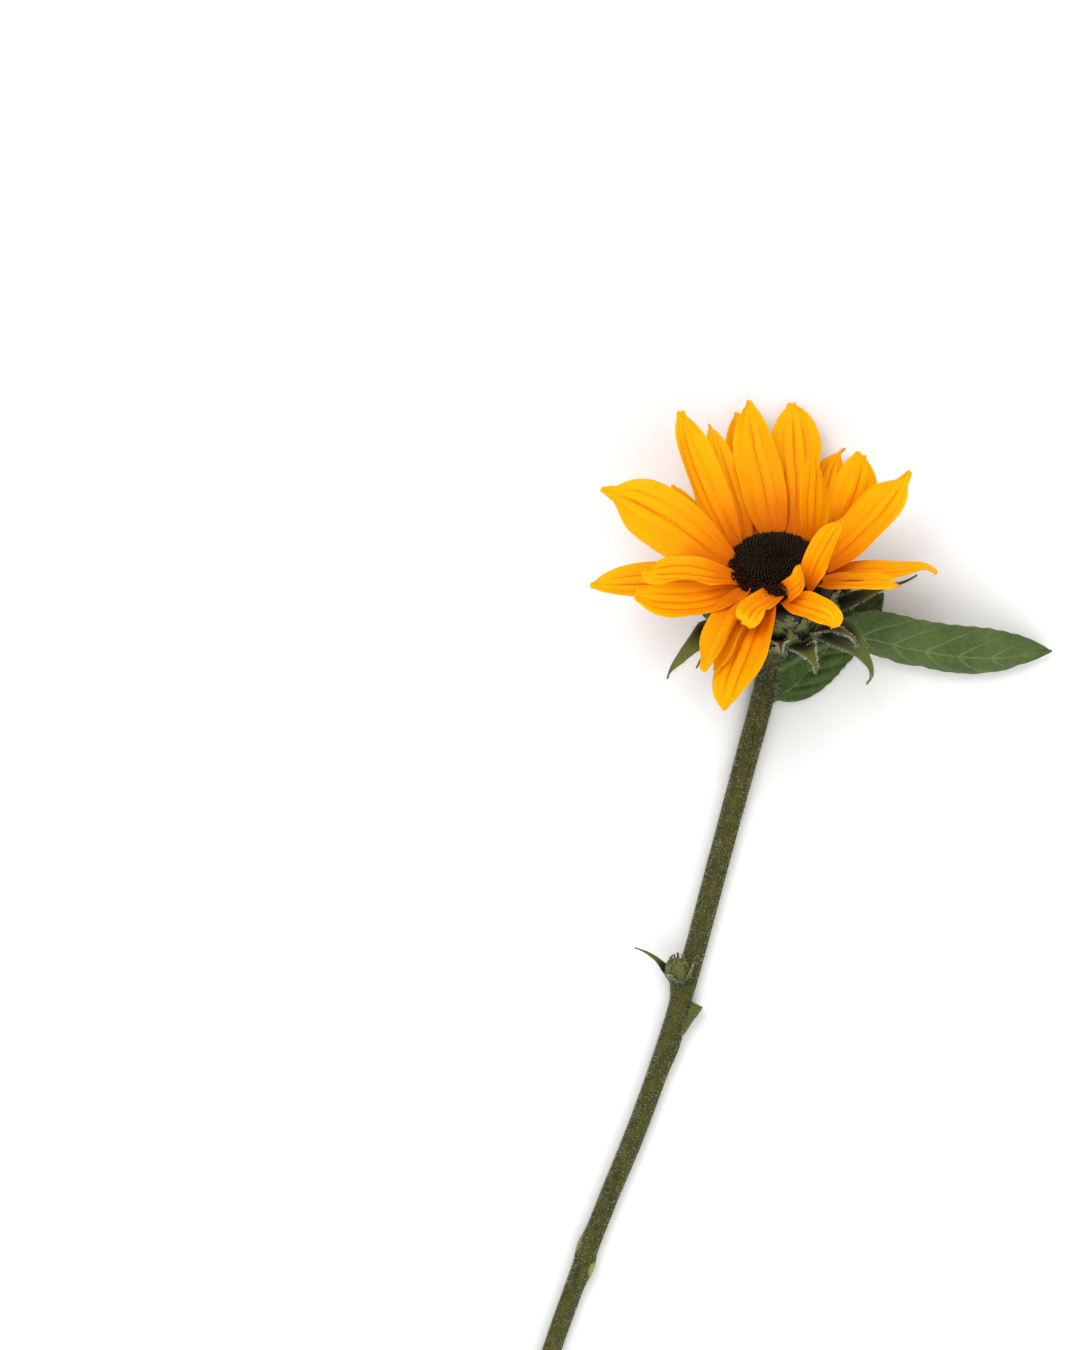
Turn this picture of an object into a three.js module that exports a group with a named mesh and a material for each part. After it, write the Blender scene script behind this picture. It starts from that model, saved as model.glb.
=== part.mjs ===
// A cut sunflower lying on a table: one flower head with its ring of bracts, a long bowed
// stem, three leaves, a side bud and a leaf stub. The stem runs along Y with the head at +Y.
// Lengths are millimetres, angles degrees, Z is up and the table top is Z = 0.
import * as THREE from 'three';

// ---- Driving dimensions -------------------------------------------------------------
const discRadius = 16.4;        // dark floret disc
const discDome = 4.6;           // how far the disc bulges in front of its rim
const faceLift = 40;            // the face looks up this far above the horizontal
const faceTurn = 17.6;          // and this far round from the line of the stem
const bowlFlank = 4.4;          // green bowl, how far it stands out around the disc
const bowlDepth = 29;           // from the disc rim back to the stem
const bowlWidest = 15;          // the bowl rounds off from this depth back to the stem
const headRest = 1;             // lowest bract root above the table
const collarRadius = 5.6;       // top of the stem, where it joins the bowl
const neckRadius = 4.0;         // stem just below the head
const tipRadius = 2.9;          // stem at the cut end
const stemReach = 350;          // cut end of the stem behind the disc centre
const cutSlant = 35;            // slanting florist's cut
const petalThickness = 0.8;
const bractThickness = 0.9;
const leafThickness = 1.0;
const gap = 0.35;               // clearance between neighbouring pieces

// ---- Ray petals, clockwise from the one that points away from the stem -----------------
// at: place round the disc; drop: depth of the root behind the disc rim; rise: slope of the
// root towards the face; bend: change of slope to the tip; yaw and sway: the same sideways;
// roll: turn about the petal's own midrib; cup: how far the margins curl up.
const petals = [
  { at: 358, length: 48, width: 16, rise: 44, bend: -10, yaw: -20, sway: 18, roll: 6, cup: 30, drop: 0.4 },
  { at: 24, length: 50, width: 18, rise: 46, bend: -26, yaw: -18, sway: -12, roll: 14, cup: 25, drop: 2.0 },
  { at: 40, length: 40, width: 14, rise: 36, bend: -20, yaw: -10, sway: -24, roll: 10, cup: 25, drop: 3.6 },
  { at: 54, length: 40, width: 11.5, rise: 84, bend: 15, yaw: -15, sway: -2, roll: -20, cup: 45, drop: 0.6 },
  { at: 73, length: 42, width: 15, rise: 46, bend: 38, yaw: -18, sway: -14, roll: -35, cup: 30, drop: 2.4 },
  { at: 90, length: 45, width: 16, rise: 46, bend: 4, yaw: -8, sway: -18, roll: -25, cup: 25, drop: 1.2 },
  { at: 106, length: 41, width: 12, rise: 12, bend: 8, yaw: -8, sway: 8, roll: -8, cup: 30, drop: 3.6 },
  { at: 121, length: 30, width: 11, rise: 14, bend: 4, yaw: -8, sway: -4, roll: 0, cup: 30, drop: 2.0 },
  { at: 144, length: 36, width: 10, rise: 74, bend: -8, yaw: -24, sway: -14, roll: -80, cup: 35, drop: 0.6 },
  { at: 170, length: 14, width: 7, rise: 62, bend: 20, yaw: -66, sway: 0, roll: -45, cup: 30, drop: 0.4 },
  { at: 172, length: 24, width: 11, rise: 8, bend: 4, yaw: -40, sway: -16, roll: -30, cup: 35, drop: 3.6 },
  { at: 186, length: 20, width: 9, rise: 2, bend: -12, yaw: 16, sway: 22, roll: 10, cup: 40, drop: 0.8 },
  { at: 193, length: 46, width: 19, rise: -18, bend: 2, yaw: 2, sway: 10, roll: -25, cup: 30, drop: 3.8 },
  { at: 208, length: 32, width: 8, rise: -30, bend: 20, yaw: 0, sway: -4, roll: -25, cup: 40, drop: 1.2 },
  { at: 220, length: 38, width: 12, rise: -18, bend: 18, yaw: -8, sway: -18, roll: -25, cup: 60, drop: 1.0 },
  { at: 230, length: 39, width: 14, rise: -6, bend: 30, yaw: 14, sway: 18, roll: 25, cup: 30, drop: 3.4 },
  { at: 242, length: 34, width: 13, rise: 22, bend: -18, yaw: 12, sway: 6, roll: 10, cup: 45, drop: 1.2 },
  { at: 254, length: 48, width: 15, rise: 4, bend: -6, yaw: 6, sway: 10, roll: 20, cup: 30, drop: 4.0 },
  { at: 266, length: 53, width: 22, rise: 42, bend: -18, yaw: 14, sway: 2, roll: 30, cup: 15, drop: 1.5 },
  { at: 283, length: 34, width: 8, rise: 46, bend: 4, yaw: 16, sway: -2, roll: 0, cup: 30, drop: 3.6 },
  { at: 300, length: 53, width: 15, rise: 50, bend: 16, yaw: 14, sway: 6, roll: 5, cup: 35, drop: 1.8 },
  { at: 320, length: 43, width: 12, rise: 48, bend: -12, yaw: 14, sway: 6, roll: -20, cup: 35, drop: 1.6 },
  { at: 340, length: 47, width: 14, rise: 38, bend: -8, yaw: 6, sway: 6, roll: -10, cup: 25, drop: 3.6 },
];

// ---- Bracts behind the petals: an inner and an outer row of pointed green scales ---------
const innerBracts = [
  { at: 15, length: 17, rise: 84, bend: -30 }, { at: 55, length: 20, rise: 84, bend: -40 },
  { at: 98, length: 28, rise: 42, bend: -20 }, { at: 138, length: 20, rise: 60, bend: -80 },
  { at: 178, length: 16, rise: 70, bend: -100 }, { at: 218, length: 22, rise: 42, bend: -80 },
  { at: 255, length: 22, rise: 66, bend: -80 }, { at: 295, length: 22, rise: 80, bend: -50 },
  { at: 335, length: 18, rise: 84, bend: -30 },
];
const outerBracts = [
  { at: 35, length: 15, rise: 58, bend: -10 }, { at: 75, length: 20, rise: 58, bend: -30 },
  { at: 120, length: 28, rise: 10, bend: -115 }, { at: 158, length: 20, rise: 50, bend: -100 },
  { at: 197, length: 20, rise: 50, bend: -100 }, { at: 237, length: 24, rise: 15, bend: -70 },
  { at: 275, length: 22, rise: 50, bend: -50 }, { at: 315, length: 18, rise: 58, bend: -20 },
  { at: 355, length: 14, rise: 58, bend: -5 },
];

// ---- Stem route, seen from above: X and Y from the disc centre ----------------------------
const stemRoute = [
  [8.6, -31], [9.8, -43], [11, -70], [12.8, -110], [14.4, -147],
  [13.6, -190], [10.6, -228], [8.6, -270], [7, -stemReach],
];

// ---- Materials ------------------------------------------------------------------------
const finish = (color, roughness) => new THREE.MeshStandardMaterial({ color, roughness, metalness: 0 });
const petalYellow = () => finish(0xffb700, 0.55);
const discBrown = () => finish(0x2a1512, 0.9);
const bractGreen = () => finish(0x3c4a26, 0.8);
const leafGreen = () => finish(0x3f6b2e, 0.65);
const stemGreen = () => finish(0x6e7038, 0.8);

const radians = THREE.MathUtils.degToRad;
const lerp = THREE.MathUtils.lerp;

// ---- Closed solids lofted through rings ----------------------------------------------------
// Every ring has the same even number of points, first half on one face and second half,
// running back, on the other. The ends close with a strip from one half to the other.
function loft(rings) {
  const count = rings[0].length;
  const faces = [];
  for (let ring = 0; ring < rings.length - 1; ring += 1) {
    for (let i = 0; i < count; i += 1) {
      const a = ring * count + i;
      const b = ring * count + (i + 1) % count;
      faces.push(a, b, a + count, b, b + count, a + count);
    }
  }
  const last = (rings.length - 1) * count;
  for (let i = 0; i < count / 2 - 1; i += 1) {
    const j = count - 1 - i;
    faces.push(i, j, i + 1, j, j - 1, i + 1);
    faces.push(last + i, last + i + 1, last + j, last + j, last + i + 1, last + j - 1);
  }
  const geometry = new THREE.BufferGeometry();
  const positions = rings.flatMap((ring) => ring.flatMap((p) => [p.x, p.y, p.z]));
  geometry.setAttribute('position', new THREE.Float32BufferAttribute(positions, 3));
  geometry.setIndex(faces);
  geometry.computeVertexNormals();
  return geometry;
}

// One cross-section of a blade: a thin lens that curls by a cup angle on each side.
function bladeSection(frame, shape) {
  const across = 4;
  const front = [];
  const back = [];
  for (let i = 0; i <= across; i += 1) {
    const v = -1 + 2 * i / across;
    const side = v < 0 ? shape.left : shape.right;
    const curl = radians(side.cup) || 1e-4;
    const radius = side.width / curl;
    const angle = Math.abs(v) * curl;
    const out = Math.sign(v) * radius * Math.sin(angle);
    const lift = radius * (1 - Math.cos(angle));
    const half = lerp(shape.edge, shape.thickness, 1 - v * v) / 2;
    const face = frame.side.clone().multiplyScalar(-Math.sign(v) * Math.sin(angle));
    face.addScaledVector(frame.up, Math.cos(angle));
    const middle = frame.point.clone().addScaledVector(frame.side, out).addScaledVector(frame.up, lift);
    front.push(middle.clone().addScaledVector(face, half));
    back.unshift(middle.addScaledVector(face, -half));
  }
  return [...front, ...back];
}

// Outline of a petal or bract: narrow claw, full middle, blunt tip.
function petalWidth(t, claw, fullest, tip) {
  if (t < fullest) {
    return claw + (1 - claw) * Math.sin(Math.PI / 2 * t / fullest) ** 1.2;
  }
  const fall = ((t - fullest) / (1 - fullest)) ** 1.7;
  return Math.max(tip, Math.cos(Math.PI / 2 * fall) ** 0.9);
}

// A petal or bract grows from the head axis outwards: its midrib is stepped along by its own
// slope and sway, and a section is set across it at every step.
function rayGeometry(ray, shape) {
  const steps = 9;
  const around = radians(ray.at);
  const outward = new THREE.Vector3(Math.sin(around), Math.cos(around), 0);
  const sideways = new THREE.Vector3(Math.cos(around), -Math.sin(around), 0);
  const facing = new THREE.Vector3(0, 0, 1);
  const point = outward.clone().multiplyScalar(ray.from).addScaledVector(facing, -ray.drop);
  const rings = [];
  for (let i = 0; i <= steps; i += 1) {
    const frame = rayFrame(ray, i / steps, outward, sideways, facing);
    const width = ray.width / 2 * petalWidth(i / steps, shape.claw, shape.fullest, shape.tip);
    const half = { width, cup: ray.cup };
    rings.push(bladeSection({ ...frame, point }, { ...shape, left: half, right: half }));
    const next = rayFrame(ray, (i + 0.5) / steps, outward, sideways, facing);
    point.addScaledVector(next.along, ray.length / steps);
  }
  return loft(rings);
}

function rayFrame(ray, t, outward, sideways, facing) {
  const slope = radians(ray.rise + ray.bend * t);
  const swing = radians(ray.yaw + ray.sway * t);
  const roll = radians(ray.roll);
  const level = outward.clone().multiplyScalar(Math.cos(swing)).addScaledVector(sideways, Math.sin(swing));
  const flatSide = sideways.clone().multiplyScalar(Math.cos(swing)).addScaledVector(outward, -Math.sin(swing));
  const flatUp = level.clone().multiplyScalar(-Math.sin(slope)).addScaledVector(facing, Math.cos(slope));
  const along = level.multiplyScalar(Math.cos(slope)).addScaledVector(facing, Math.sin(slope));
  const side = flatSide.clone().multiplyScalar(Math.cos(roll)).addScaledVector(flatUp, Math.sin(roll));
  const up = flatUp.multiplyScalar(Math.cos(roll)).addScaledVector(flatSide, -Math.sin(roll));
  return { along, side, up };
}

function piece(name, geometry, material) {
  const mesh = new THREE.Mesh(geometry, material);
  mesh.name = name;
  return mesh;
}

const numbered = (stem, index) => `${stem}_${String(index + 1).padStart(2, '0')}`;

// ---- Flower head, built around its own axis with the face towards +Z --------------------
const bowlRadius = discRadius + bowlFlank;
const bowlTop = 6;              // the bowl starts this far behind the disc rim, under the petals
const petalRoot = discRadius + 1.2;
const innerBractRoot = { radius: bowlRadius + 1, drop: bowlWidest + 1 };
const outerBractRoot = { radius: bowlRadius + 0.2, drop: bowlWidest + 5 };
const headHeight = headRest + outerBractRoot.drop * Math.sin(radians(faceLift))
  + outerBractRoot.radius * Math.cos(radians(faceLift));

function bowlGeometry() {
  const profile = [
    [0, -bowlDepth], [collarRadius + 0.4, -bowlDepth],
    [bowlRadius * 0.56, -lerp(bowlDepth, bowlWidest, 0.27)],
    [bowlRadius * 0.87, -lerp(bowlDepth, bowlWidest, 0.64)], [bowlRadius * 0.97, -bowlWidest],
    [bowlRadius * 0.98, -bowlTop - 4], [bowlRadius * 0.92, -bowlTop], [0, -bowlTop],
  ];
  return new THREE.LatheGeometry(profile.map(([r, y]) => new THREE.Vector2(r, y)), 20).rotateX(Math.PI / 2);
}

function discGeometry() {
  const profile = [
    [0, -bowlTop + gap], [discRadius - 0.6, -bowlTop + gap], [discRadius, 0],
    [discRadius * 0.94, discDome * 0.5], [discRadius * 0.72, discDome],
    [discRadius * 0.4, discDome * 0.96], [0, discDome * 0.75],
  ];
  return new THREE.LatheGeometry(profile.map(([r, y]) => new THREE.Vector2(r, y)), 24).rotateX(Math.PI / 2);
}

function buildHead() {
  const head = new THREE.Group();
  head.add(piece('receptacle', bowlGeometry(), bractGreen()));
  head.add(piece('disc_florets', discGeometry(), discBrown()));
  const petalShape = { thickness: petalThickness, edge: 0.4, claw: 0.22, fullest: 0.5, tip: 0.14 };
  petals.forEach((petal, index) => {
    const geometry = rayGeometry({ ...petal, from: petalRoot }, petalShape);
    head.add(piece(numbered('ray_petal', index), geometry, petalYellow()));
  });
  const bractShape = { thickness: bractThickness, edge: 0.4, claw: 0.8, fullest: 0.3, tip: 0.1 };
  const rows = [
    { name: 'inner_bract', list: innerBracts, root: innerBractRoot },
    { name: 'outer_bract', list: outerBracts, root: outerBractRoot },
  ];
  for (const row of rows) {
    row.list.forEach((bract, index) => {
      const level = { width: 10, yaw: 0, sway: 0, roll: 0, cup: 24, drop: row.root.drop };
      const geometry = rayGeometry({ ...level, ...bract, from: row.root.radius }, bractShape);
      head.add(piece(numbered(row.name, index), geometry, bractGreen()));
    });
  }
  head.position.z = headHeight;
  head.rotation.set(radians(faceLift - 90), 0, radians(faceTurn), 'ZXY');
  head.updateMatrixWorld(true);
  return head;
}

const head = buildHead();

// ---- Stem: leaves the bowl along the head's axis, then lies on the table ------------------
const collar = head.localToWorld(new THREE.Vector3(0, 0, -bowlDepth - gap));
const neck = head.localToWorld(new THREE.Vector3(0, 0, -bowlDepth - 4));
const stemSteps = 44;
const neckLength = 14;          // the collar narrows to the stem over this length

function stemRadius(distance) {
  const flare = Math.max(0, 1 - distance / neckLength) ** 1.5;
  const slim = lerp(neckRadius, tipRadius, distance / stemReach);
  return lerp(slim, collarRadius, flare);
}

const stemCurve = new THREE.CatmullRomCurve3([
  collar, neck,
  ...stemRoute.map(([x, y]) => new THREE.Vector3(x, y, stemRadius(-y - 22))),
], false, 'centripetal');

function stemGeometry() {
  const rings = [];
  const corners = 12;
  for (let i = 0; i <= stemSteps; i += 1) {
    const t = (i / stemSteps) ** 1.25;
    const middle = stemCurve.getPointAt(t);
    const along = stemCurve.getTangentAt(t);
    const side = new THREE.Vector3(along.y, -along.x, 0).normalize();
    const up = new THREE.Vector3().crossVectors(side, along);
    const radius = stemRadius(t * stemCurve.getLength());
    const slant = i === stemSteps ? Math.tan(radians(cutSlant)) : 0;
    const ring = [];
    for (let corner = 0; corner < corners; corner += 1) {
      const angle = (corner + 0.5) / corners * Math.PI * 2;
      const spot = middle.clone();
      spot.addScaledVector(side, -radius * Math.cos(angle)).addScaledVector(up, radius * Math.sin(angle));
      spot.addScaledVector(along, -slant * radius * Math.sin(angle));
      ring.push(spot);
    }
    rings.push(ring);
  }
  return loft(rings);
}

// A place on the skin of the stem: distance along it, angle round it (0 to the right seen
// from the cut end, 90 on top) and height above the skin.
function onStem(y, angle, height) {
  let low = 0;
  let high = 1;
  for (let i = 0; i < 30; i += 1) {
    const middle = (low + high) / 2;
    if (stemCurve.getPointAt(middle).y > y) low = middle;
    else high = middle;
  }
  const spot = stemCurve.getPointAt(low);
  const reach = stemRadius(low * stemCurve.getLength()) + height;
  return spot.add(new THREE.Vector3(Math.cos(radians(angle)) * reach, 0, Math.sin(radians(angle)) * reach));
}

// ---- Leaves -----------------------------------------------------------------------------
// A leaf is one solid: a round stalk that flattens into the blade. Its midrib is a curve
// through a few points; left and right are half widths at the widest place, and the cups
// are how far each half curls up or hangs down.
function leafGeometry(leaf) {
  const steps = 16;
  const midrib = new THREE.CatmullRomCurve3(leaf.midrib);
  const rings = [];
  for (let i = 0; i <= steps; i += 1) {
    const t = i / steps;
    const along = midrib.getTangentAt(t);
    const level = new THREE.Vector3(along.y, -along.x, 0).normalize();
    const rise = new THREE.Vector3().crossVectors(level, along);
    const roll = radians(leaf.roll);
    const side = level.clone().multiplyScalar(Math.cos(roll)).addScaledVector(rise, -Math.sin(roll));
    const up = rise.multiplyScalar(Math.cos(roll)).addScaledVector(level, Math.sin(roll));
    const blade = Math.max(0, (t - leaf.stalk) / (1 - leaf.stalk));
    const spread = blade === 0 ? 0 : petalWidth(blade, 0, leaf.fullest, 0.06);
    const half = (size) => Math.max(stalkRadius * (1 - 0.6 * blade), size * spread);
    const flat = Math.min(1, blade * 5);
    rings.push(bladeSection({ point: midrib.getPointAt(t), side, up }, {
      thickness: lerp(stalkRadius * 1.6, leafThickness, flat),
      edge: 0.5,
      left: { width: half(leaf.left), cup: leaf.leftCup * flat },
      right: { width: half(leaf.right), cup: leaf.rightCup * flat },
    }));
  }
  return loft(rings);
}

const stalkRadius = 1.5;
const at = (x, y, z) => new THREE.Vector3(x, y, z);
const leaves = {
  leaf_right: {
    midrib: [onStem(-33, 35, stalkRadius + gap), at(23, -20.5, 9), at(34, -14, 12), at(51, -12.5, 13.5),
      at(68, -10, 13), at(82, -6, 10), at(98, 1.4, 3.5)],
    stalk: 0.2, fullest: 0.35, left: 14, right: 15, leftCup: 10, rightCup: -70, roll: 35,
  },
  leaf_behind_stem: {
    midrib: [onStem(-44, 10, stalkRadius + gap), at(19.5, -35, 2.5), at(26, -20, 1.4), at(33, -7, 1.4),
      at(38, 3, 2)],
    stalk: 0.05, fullest: 0.45, left: 11, right: 8.5, leftCup: 8, rightCup: 6, roll: 0,
  },
  leaf_behind_head: {
    midrib: [onStem(-30, 190, stalkRadius + gap), at(-4, -27, 2.6), at(-17, -8, 1.2), at(-20, 16, 1),
      at(-15.5, 43, 1)],
    stalk: 0.15, fullest: 0.4, left: 12, right: 11, leftCup: 5, rightCup: 5, roll: 0,
  },
};

// ---- Side bud and leaf stub on the stem ---------------------------------------------------
const budPlace = -143;          // along the stem
const budRadius = 4.2;
const budLength = 11;

function budGeometry() {
  const profile = [
    [0, 0], [1.1, 0.9], [1.8, 2.2], [budRadius * 0.85, 3.4], [budRadius, 5.8],
    [budRadius * 0.8, 8.5], [budRadius * 0.35, budLength], [0, budLength + 0.6],
  ];
  return new THREE.LatheGeometry(profile.map(([r, y]) => new THREE.Vector2(r, y)), 12).rotateX(Math.PI / 2);
}

function buildBud() {
  const bud = new THREE.Group();
  bud.add(piece('side_bud', budGeometry(), bractGreen()));
  const shape = { thickness: 0.8, edge: 0.4, claw: 0.7, fullest: 0.3, tip: 0.1 };
  const scales = [{ at: 105, length: 13 }, { at: 190, length: 14 }, { at: 275, length: 14 }];
  scales.forEach((scale, index) => {
    const ray = { ...scale, from: budRadius + 0.8, drop: -2.4, width: 5.5, rise: 88, bend: -45 };
    const geometry = rayGeometry({ ...ray, yaw: 0, sway: 0, roll: 0, cup: 40 }, shape);
    bud.add(piece(numbered('bud_bract', index), geometry, bractGreen()));
  });
  bud.position.copy(onStem(budPlace, 140, gap));
  bud.rotation.set(radians(-45), radians(-14), 0);
  return bud;
}

function stubGeometry() {
  const rings = [];
  const route = [onStem(-162, 20, 1.4), onStem(-155, 20, 1.9), onStem(-148, 20, 2.4)];
  const curve = new THREE.CatmullRomCurve3(route);
  for (let i = 0; i <= 4; i += 1) {
    const along = curve.getTangentAt(i / 4);
    const side = new THREE.Vector3(along.y, -along.x, 0).normalize();
    const up = new THREE.Vector3().crossVectors(side, along);
    const radius = lerp(1.0, 1.9, i / 4);
    const ring = [];
    for (let corner = 0; corner < 8; corner += 1) {
      const angle = (corner + 0.5) / 8 * Math.PI * 2;
      const spot = curve.getPointAt(i / 4).addScaledVector(side, -radius * Math.cos(angle));
      ring.push(spot.addScaledVector(up, radius * Math.sin(angle)));
    }
    rings.push(ring);
  }
  return loft(rings);
}

// ---- Whole flower ---------------------------------------------------------------------------
const flower = new THREE.Group();
flower.add(head);
flower.add(piece('stem', stemGeometry(), stemGreen()));
for (const [name, leaf] of Object.entries(leaves)) {
  flower.add(piece(name, leafGeometry(leaf), leafGreen()));
}
flower.add(buildBud());
flower.add(piece('leaf_stub', stubGeometry(), stemGreen()));

// The origin is the middle of the footprint, on the table.
const box = new THREE.Box3().setFromObject(flower, true);
const middle = box.getCenter(new THREE.Vector3());
flower.position.set(-middle.x, -middle.y, -box.min.z);

const group = new THREE.Group();
group.add(flower);
export default group;
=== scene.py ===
"""Looks of the cut sunflower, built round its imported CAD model. Lengths are millimetres until
a mesh is made; the head is modelled about its own axis, X right, Y away from the stem and Z
out of the face, then placed where the CAD head is."""
import math

import bpy
import numpy as np
from mathutils import Matrix, Vector


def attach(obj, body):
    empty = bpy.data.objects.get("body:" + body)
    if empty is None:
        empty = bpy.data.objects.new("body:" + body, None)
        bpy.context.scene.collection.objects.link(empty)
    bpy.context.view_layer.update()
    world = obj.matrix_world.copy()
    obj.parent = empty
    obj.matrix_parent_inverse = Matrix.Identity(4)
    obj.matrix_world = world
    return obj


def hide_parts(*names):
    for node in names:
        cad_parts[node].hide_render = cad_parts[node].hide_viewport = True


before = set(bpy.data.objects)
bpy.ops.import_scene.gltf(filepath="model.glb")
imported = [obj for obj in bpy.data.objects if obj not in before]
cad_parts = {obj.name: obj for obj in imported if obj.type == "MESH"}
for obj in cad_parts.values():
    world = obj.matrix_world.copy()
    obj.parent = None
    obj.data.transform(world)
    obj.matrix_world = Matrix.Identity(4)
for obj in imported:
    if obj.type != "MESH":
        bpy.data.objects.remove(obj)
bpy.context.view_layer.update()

MM = 0.001
rng = np.random.default_rng(11)

# ---- Sizes shared with the CAD model ----
DISC_RADIUS = 16.4
DISC_DOME = 4.6
FACE_LIFT = math.radians(40)
FACE_TURN = math.radians(17.6)
BOWL_RADIUS = DISC_RADIUS + 4.4
BOWL_DEPTH = 29
BOWL_WIDEST = 15
BOWL_TOP = 6
PETAL_ROOT = DISC_RADIUS + 1.2
COLLAR_RADIUS = 5.6
NECK_RADIUS = 4.0
TIP_RADIUS = 2.9
NECK_LENGTH = 14
STEM_REACH = 350
CUT_SLANT = math.radians(35)
GAP = 0.35

PETAL_KEYS = ("at", "length", "width", "rise", "bend", "yaw", "sway", "roll", "cup", "drop")
PETALS = [
    (358, 48, 16, 44, -10, -20, 18, 6, 30, 0.4),
    (24, 50, 18, 46, -26, -18, -12, 14, 25, 2.0),
    (40, 40, 14, 36, -20, -10, -24, 10, 25, 3.6),
    (54, 40, 11.5, 84, 15, -15, -2, -20, 45, 0.6),
    (73, 42, 15, 46, 38, -18, -14, -35, 30, 2.4),
    (90, 45, 16, 46, 4, -8, -18, -25, 25, 1.2),
    (106, 41, 12, 12, 8, -8, 8, -8, 30, 3.6),
    (121, 30, 11, 14, 4, -8, -4, 0, 30, 2.0),
    (144, 36, 10, 74, -8, -24, -14, -80, 35, 0.6),
    (170, 14, 7, 62, 20, -66, 0, -45, 30, 0.4),
    (172, 24, 11, 8, 4, -40, -16, -30, 35, 3.6),
    (186, 20, 9, 2, -12, 16, 22, 10, 40, 0.8),
    (193, 46, 19, -18, 2, 2, 10, -25, 30, 3.8),
    (208, 32, 8, -30, 20, 0, -4, -25, 40, 1.2),
    (220, 38, 12, -18, 18, -8, -18, -25, 60, 1.0),
    (230, 39, 14, -6, 30, 14, 18, 25, 30, 3.4),
    (242, 34, 13, 22, -18, 12, 6, 10, 45, 1.2),
    (254, 48, 15, 4, -6, 6, 10, 20, 30, 4.0),
    (266, 53, 22, 42, -18, 14, 2, 30, 15, 1.5),
    (283, 34, 8, 46, 4, 16, -2, 0, 30, 3.6),
    (300, 53, 15, 50, 16, 14, 6, 5, 35, 1.8),
    (320, 43, 12, 48, -12, 14, 6, -20, 35, 1.6),
    (340, 47, 14, 38, -8, 6, 6, -10, 25, 3.6),
]
BRACT_KEYS = ("at", "length", "rise", "bend")
INNER_BRACTS = [
    (15, 17, 84, -30), (55, 20, 84, -40), (98, 28, 42, -20), (138, 20, 60, -80), (178, 16, 70, -100),
    (218, 22, 42, -80), (255, 22, 66, -80), (295, 22, 80, -50), (335, 18, 84, -30),
]
OUTER_BRACTS = [
    (35, 15, 58, -10), (75, 20, 58, -30), (120, 28, 10, -115), (158, 20, 50, -100), (197, 20, 50, -100),
    (237, 24, 15, -70), (275, 22, 50, -50), (315, 18, 58, -20), (355, 14, 58, -5),
]
STEM_ROUTE = [
    (8.6, -31), (9.8, -43), (11, -70), (12.8, -110), (14.4, -147),
    (13.6, -190), (10.6, -228), (8.6, -270), (7, -STEM_REACH),
]


# ---- Frames of reference ----
def turned(x, y, z):
    """A direction given along the head's heading, in the row's axes."""
    c, s = math.cos(FACE_TURN), math.sin(FACE_TURN)
    return np.array([c * x - s * y, s * x + c * y, z])


HEAD_RIGHT = turned(1, 0, 0)
HEAD_AWAY = turned(0, math.sin(FACE_LIFT), -math.cos(FACE_LIFT))
HEAD_OUT = turned(0, math.cos(FACE_LIFT), math.sin(FACE_LIFT))
HEAD_AXES = np.array([HEAD_RIGHT, HEAD_AWAY, HEAD_OUT])


def node_points(node):
    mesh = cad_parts[node].data
    points = np.empty(len(mesh.vertices) * 3)
    mesh.vertices.foreach_get("co", points)
    return np.unique(points.reshape(-1, 3).round(6), axis=0) / MM


def find_disc_centre():
    points = node_points("disc_florets")
    middle = points.mean(axis=0)
    rim = (points @ HEAD_OUT).max() - DISC_DOME
    return middle + HEAD_OUT * (rim - middle @ HEAD_OUT)


DISC_CENTRE = find_disc_centre()
FLOOR_ORIGIN = np.array([DISC_CENTRE[0], DISC_CENTRE[1], 0.0])


def head_to_row(points):
    return DISC_CENTRE + np.asarray(points) @ HEAD_AXES


def table_to_row(points):
    return FLOOR_ORIGIN + np.asarray(points)


# ---- Small numeric helpers ----
def smooth(low, high, x):
    t = np.clip((np.asarray(x, float) - low) / (high - low), 0, 1)
    return t * t * (3 - 2 * t)


def unit(v):
    v = np.asarray(v, float)
    return v / np.maximum(np.linalg.norm(v, axis=-1, keepdims=True), 1e-9)


def wobble(x, y, seed, octaves=3):
    """Smooth value noise made of a few turned sine waves."""
    local = np.random.default_rng(seed)
    total = np.zeros(np.broadcast(x, y).shape)
    size = 1.0
    for _ in range(octaves * 3):
        angle, phase = local.uniform(0, 2 * math.pi, 2)
        across = x * math.cos(angle) + y * math.sin(angle)
        total = total + size * np.sin(across * 2 * math.pi / size + phase)
        size *= 0.72
    return total / 6


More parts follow.
